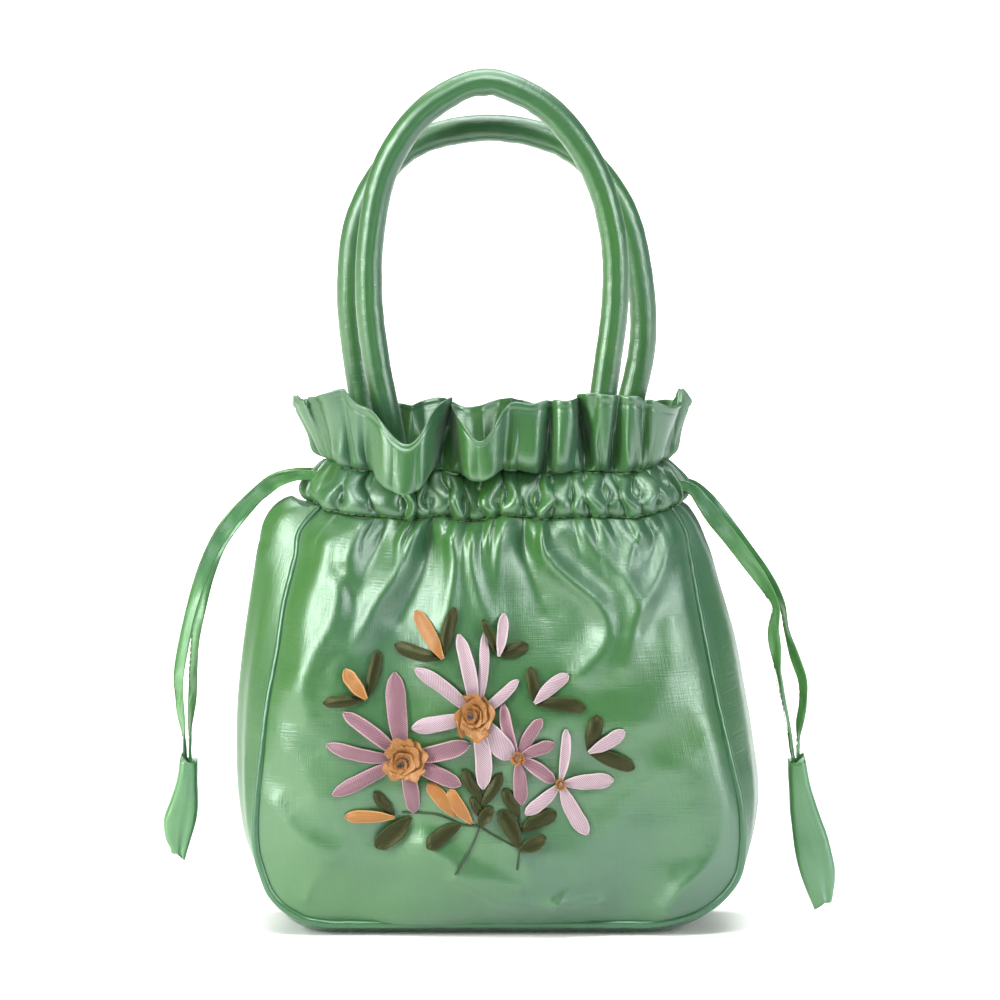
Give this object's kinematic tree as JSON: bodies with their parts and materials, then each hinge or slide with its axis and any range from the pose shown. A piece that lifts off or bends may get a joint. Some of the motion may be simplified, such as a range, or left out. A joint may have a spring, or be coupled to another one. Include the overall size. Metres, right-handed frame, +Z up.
{
  "type": "drawstring handbag",
  "caption": "Small filled satin pouch with piped seams, a gathered drawstring casing, a frilled mouth, padded handles and a spray of ribbon-worked flowers on the front.",
  "frame": {"origin": "middle of the flat bottom, on the surface that the bag stands on", "axes": "+Z up through the mouth, -Y out of the front with the flowers, +X to the right as seen from the front"},
  "size_m": [0.2561, 0.0968, 0.3275],
  "materials": {
    "green_satin": "glossy satin",
    "piping_satin": "glossy satin",
    "tape_satin": "glossy satin",
    "mauve_ribbon": "satin ribbon",
    "pale_ribbon": "satin ribbon",
    "apricot_ribbon": "satin ribbon",
    "olive_ribbon": "satin ribbon"
  },
  "bodies": {
    "root": {"front_panel": "green_satin", "back_panel": "green_satin", "gusset": "green_satin", "casing": "green_satin", "frill": "green_satin", "front_handle": "green_satin", "back_handle": "green_satin", "front_piping": "piping_satin", "back_piping": "piping_satin", "left_drawstring": "tape_satin", "right_drawstring": "tape_satin", "left_tab": "tape_satin", "right_tab": "tape_satin", "left_flower": "mauve_ribbon", "right_flower": "mauve_ribbon", "middle_flower": "pale_ribbon", "low_flower": "pale_ribbon", "left_rose": "apricot_ribbon", "middle_rose": "apricot_ribbon", "right_knot": "apricot_ribbon", "low_knot": "apricot_ribbon", "bud_1": "apricot_ribbon", "bud_leaves_1": "olive_ribbon", "bud_2": "apricot_ribbon", "bud_leaves_2": "olive_ribbon", "bud_3": "pale_ribbon", "bud_leaves_3": "olive_ribbon", "bud_4": "pale_ribbon", "bud_leaves_4": "olive_ribbon", "bud_5": "pale_ribbon", "bud_leaves_5": "olive_ribbon", "bud_6": "apricot_ribbon", "bud_leaves_6": "olive_ribbon", "low_bud_1": "apricot_ribbon", "low_bud_2": "apricot_ribbon", "stems": "olive_ribbon"}
  },
  "joints": []
}
